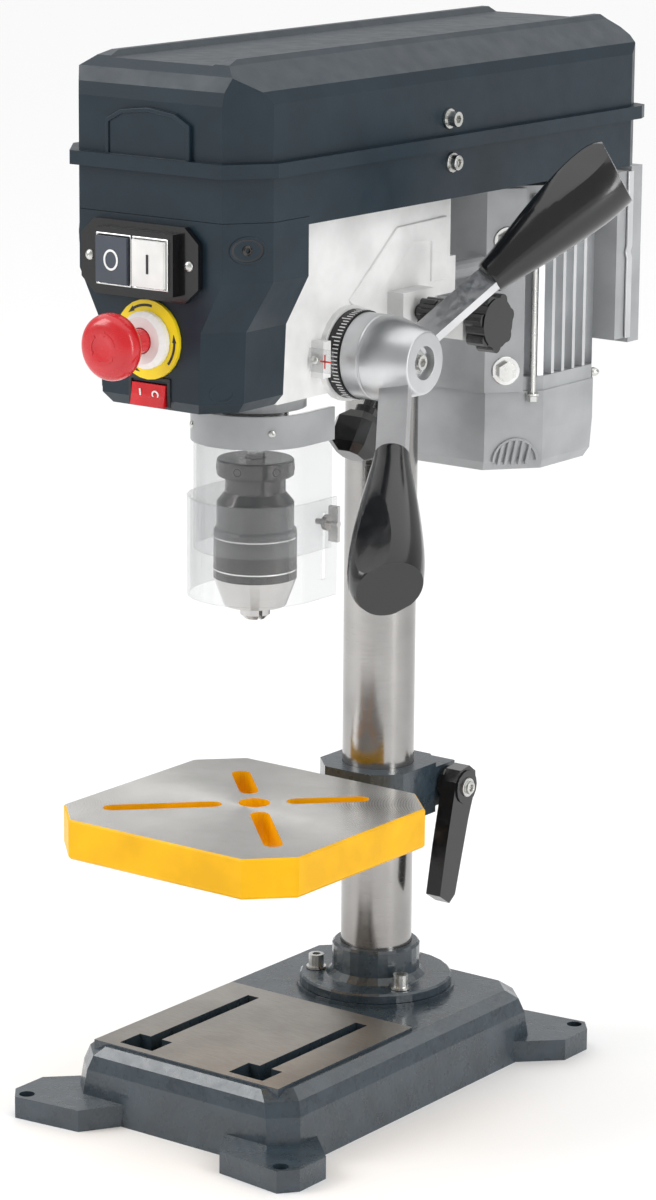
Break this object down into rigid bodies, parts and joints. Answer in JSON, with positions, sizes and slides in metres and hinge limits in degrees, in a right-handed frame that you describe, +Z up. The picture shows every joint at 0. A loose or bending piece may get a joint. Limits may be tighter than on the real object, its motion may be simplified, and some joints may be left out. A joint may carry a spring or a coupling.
{
  "type": "bench drill press",
  "caption": "Bench drill press: belt head on a round column, lever-fed quill with keyless chuck and clear guard, tilting slotted table, slotted base.",
  "frame": {"origin": "column axis on the plane under the base", "axes": "+Z up along the column, -Y towards the operator, +X towards the feed levers"},
  "size_m": [0.2855, 0.4803, 0.664],
  "materials": {
    "hammered_paint": "dark blue-grey hammered gloss",
    "housing_paint": "dark blue-grey fine texture",
    "casting_paint": "off-white satin",
    "ground_steel": "ground",
    "bright_steel": "bright zinc or polished",
    "dark_steel": "blackened, polished",
    "satin_aluminium": "satin",
    "grey_paint": "silver-grey satin",
    "yellow_paint": "gloss, top face machined bare",
    "black_plastic": "gloss",
    "dark_plastic": "satin",
    "pale_plastic": "gloss",
    "yellow_plastic": "satin",
    "red_plastic": "gloss",
    "belt_rubber": "matt",
    "clear_plastic": "clear"
  },
  "bodies": {
    "stand": {"base_casting": "hammered_paint", "column_flange": "hammered_paint", "flange_bolt_1": "bright_steel", "flange_bolt_2": "bright_steel", "flange_bolt_3": "bright_steel", "column_tube": "ground_steel", "head_casting": "casting_paint", "switch_box": "housing_paint", "switch_plate": "black_plastic", "estop_disc": "yellow_plastic", "estop_collar": "pale_plastic", "belt_tray": "housing_paint", "return_spring_cap": "dark_plastic", "depth_pointer": "clear_plastic", "guard_collar": "grey_paint", "v_belt": "belt_rubber"},
    "table_ring": {"table_ring": "bright_steel"},
    "table_arm": {"table_arm": "hammered_paint", "table_tilt_bolt": "bright_steel"},
    "table": {"table_plate": "yellow_paint"},
    "table_clamp": {"table_clamp_stud": "bright_steel", "table_clamp_lever": "black_plastic"},
    "motor": {"motor_lower_cap": "grey_paint", "motor_body": "satin_aluminium", "motor_upper_cap": "grey_paint", "motor_mount_plate": "grey_paint", "motor_bolt_1": "bright_steel", "motor_bolt_2": "bright_steel", "terminal_box": "grey_paint"},
    "rotor": {"motor_shaft": "bright_steel", "motor_pulley": "satin_aluminium"},
    "spindle_pulley": {"spindle_pulley": "satin_aluminium"},
    "quill": {"quill": "bright_steel"},
    "spindle": {"spindle": "bright_steel", "chuck_body": "dark_steel"},
    "chuck_sleeve": {"chuck_sleeve": "bright_steel"},
    "jaw_1": {"chuck_jaw_1": "bright_steel"},
    "jaw_2": {"chuck_jaw_2": "bright_steel"},
    "jaw_3": {"chuck_jaw_3": "bright_steel"},
    "feed": {"feed_shaft": "bright_steel", "feed_hub": "satin_aluminium", "hub_screw": "bright_steel", "feed_lever_1": "satin_aluminium", "feed_lever_2": "satin_aluminium", "feed_grip_1": "black_plastic", "feed_grip_2": "black_plastic"},
    "depth_dial": {"depth_dial": "black_plastic"},
    "cover": {"belt_cover": "housing_paint", "cover_screw": "bright_steel"},
    "stop_button": {"stop_button": "dark_plastic"},
    "start_button": {"start_button": "pale_plastic"},
    "estop_button": {"estop_button": "red_plastic"},
    "light_rocker": {"light_rocker": "red_plastic"},
    "motor_lock_knob": {"motor_lock_knob": "black_plastic"},
    "tension_knob": {"tension_knob": "black_plastic"},
    "head_clamp_knob": {"head_clamp_knob": "black_plastic"},
    "guard": {"guard_band": "grey_paint", "guard_upper_shield": "clear_plastic"},
    "guard_slider": {"guard_lower_shield": "clear_plastic"},
    "guard_wing_screw": {"guard_wing_screw": "bright_steel"}
  },
  "joints": [
    {"name": "table_lift", "type": "slide", "parent": "stand", "child": "table_ring", "axis": [0, 0, 1], "range_m": [-0.04, 0.03]},
    {"name": "table_swing", "type": "hinge", "parent": "table_ring", "child": "table_arm", "pos_m": [0, 0, 0.153], "axis": [0, 0, 1], "range_deg": [-90, 90]},
    {"name": "table_tilt", "type": "hinge", "parent": "table_arm", "child": "table", "pos_m": [0, -0.07, 0.153], "axis": [0, 1, 0], "range_deg": [-45, 45]},
    {"name": "table_clamp_turn", "type": "hinge", "parent": "table_arm", "child": "table_clamp", "pos_m": [0, 0.029, 0.18], "axis": [1, 0, 0], "range_deg": [-60, 100]},
    {"name": "motor_slide", "type": "slide", "parent": "stand", "child": "motor", "axis": [0, -1, 0], "range_m": [0, 0.008]},
    {"name": "motor_spin", "type": "hinge", "parent": "motor", "child": "rotor", "pos_m": [0, 0.12, 0.5], "axis": [0, 0, 1], "continuous": true},
    {"name": "pulley_spin", "type": "hinge", "parent": "stand", "child": "spindle_pulley", "pos_m": [0, -0.1303, 0.6], "axis": [0, 0, 1], "continuous": true},
    {"name": "quill_travel", "type": "slide", "parent": "stand", "child": "quill", "axis": [0, 0, -1], "range_m": [0, 0.05]},
    {"name": "spindle_spin", "type": "hinge", "parent": "quill", "child": "spindle", "pos_m": [0, -0.1303, 0.4], "axis": [0, 0, 1], "continuous": true},
    {"name": "chuck_sleeve_turn", "type": "hinge", "parent": "spindle", "child": "chuck_sleeve", "pos_m": [0, -0.1303, 0.35], "axis": [0, 0, 1], "range_deg": [0, 270]},
    {"name": "jaw_1_slide", "type": "slide", "parent": "spindle", "child": "jaw_1", "axis": [0.2165, 0.125, 0.9682], "range_m": [0, 0.0101]},
    {"name": "jaw_2_slide", "type": "slide", "parent": "spindle", "child": "jaw_2", "axis": [-0.2165, 0.125, 0.9682], "range_m": [0, 0.0101]},
    {"name": "jaw_3_slide", "type": "slide", "parent": "spindle", "child": "jaw_3", "axis": [0, -0.25, 0.9682], "range_m": [0, 0.0101]},
    {"name": "feed_turn", "type": "hinge", "parent": "stand", "child": "feed", "pos_m": [0.08, -0.099, 0.48], "axis": [1, 0, 0], "range_deg": [0, 180], "stiffness_Nm_per_rad": 0.5, "springref_deg": -68.75},
    {"name": "dial_set", "type": "hinge", "parent": "feed", "child": "depth_dial", "pos_m": [0.0535, -0.099, 0.48], "axis": [1, 0, 0], "range_deg": [-180, 180]},
    {"name": "cover_hinge", "type": "hinge", "parent": "stand", "child": "cover", "pos_m": [-0.077, 0, 0.59855], "axis": [0, -1, 0], "range_deg": [0, 100]},
    {"name": "stop_press", "type": "slide", "parent": "stand", "child": "stop_button", "axis": [0, 1, 0], "range_m": [0, 0.003], "stiffness_N_per_m": 300, "springref_m": -0.001},
    {"name": "start_press", "type": "slide", "parent": "stand", "child": "start_button", "axis": [0, 1, 0], "range_m": [0, 0.003], "stiffness_N_per_m": 300, "springref_m": -0.001},
    {"name": "estop_press", "type": "slide", "parent": "stand", "child": "estop_button", "axis": [0, 1, 0], "range_m": [0, 0.005]},
    {"name": "light_rock", "type": "hinge", "parent": "stand", "child": "light_rocker", "pos_m": [0, -0.226, 0.4683], "axis": [1, 0, 0], "range_deg": [0, 12]},
    {"name": "motor_lock_turn", "type": "hinge", "parent": "stand", "child": "motor_lock_knob", "pos_m": [0.06, 0.022, 0.485], "axis": [1, 0, 0], "range_deg": [-360, 360]},
    {"name": "tension_turn", "type": "hinge", "parent": "stand", "child": "tension_knob", "pos_m": [0.06, -0.042, 0.499], "axis": [1, 0, 0], "range_deg": [-360, 360]},
    {"name": "head_clamp_turn", "type": "hinge", "parent": "stand", "child": "head_clamp_knob", "pos_m": [0.032, -0.0548, 0.446], "axis": [0, 0.5446, 0.8387], "range_deg": [-180, 180]},
    {"name": "guard_swing", "type": "hinge", "parent": "stand", "child": "guard", "pos_m": [-0.0425, -0.1053, 0.45], "axis": [0, 0, -1], "range_deg": [0, 100]},
    {"name": "guard_slide", "type": "slide", "parent": "guard", "child": "guard_slider", "axis": [0, 0, 1], "range_m": [-0.004, 0.03]},
    {"name": "guard_screw_turn", "type": "hinge", "parent": "guard", "child": "guard_wing_screw", "pos_m": [0.045, -0.1153, 0.378], "axis": [1, 0, 0], "range_deg": [-180, 180]}
  ],
  "couplings": [
    {"joint": "quill_travel", "follows": "feed_turn", "m_per_rad": 0.0153},
    {"joint": "pulley_spin", "follows": "motor_spin", "ratio": 1},
    {"joint": "spindle_spin", "follows": "motor_spin", "ratio": 1},
    {"joint": "jaw_1_slide", "follows": "chuck_sleeve_turn", "m_per_rad": 0.00212},
    {"joint": "jaw_2_slide", "follows": "chuck_sleeve_turn", "m_per_rad": 0.00212},
    {"joint": "jaw_3_slide", "follows": "chuck_sleeve_turn", "m_per_rad": 0.00212}
  ]
}
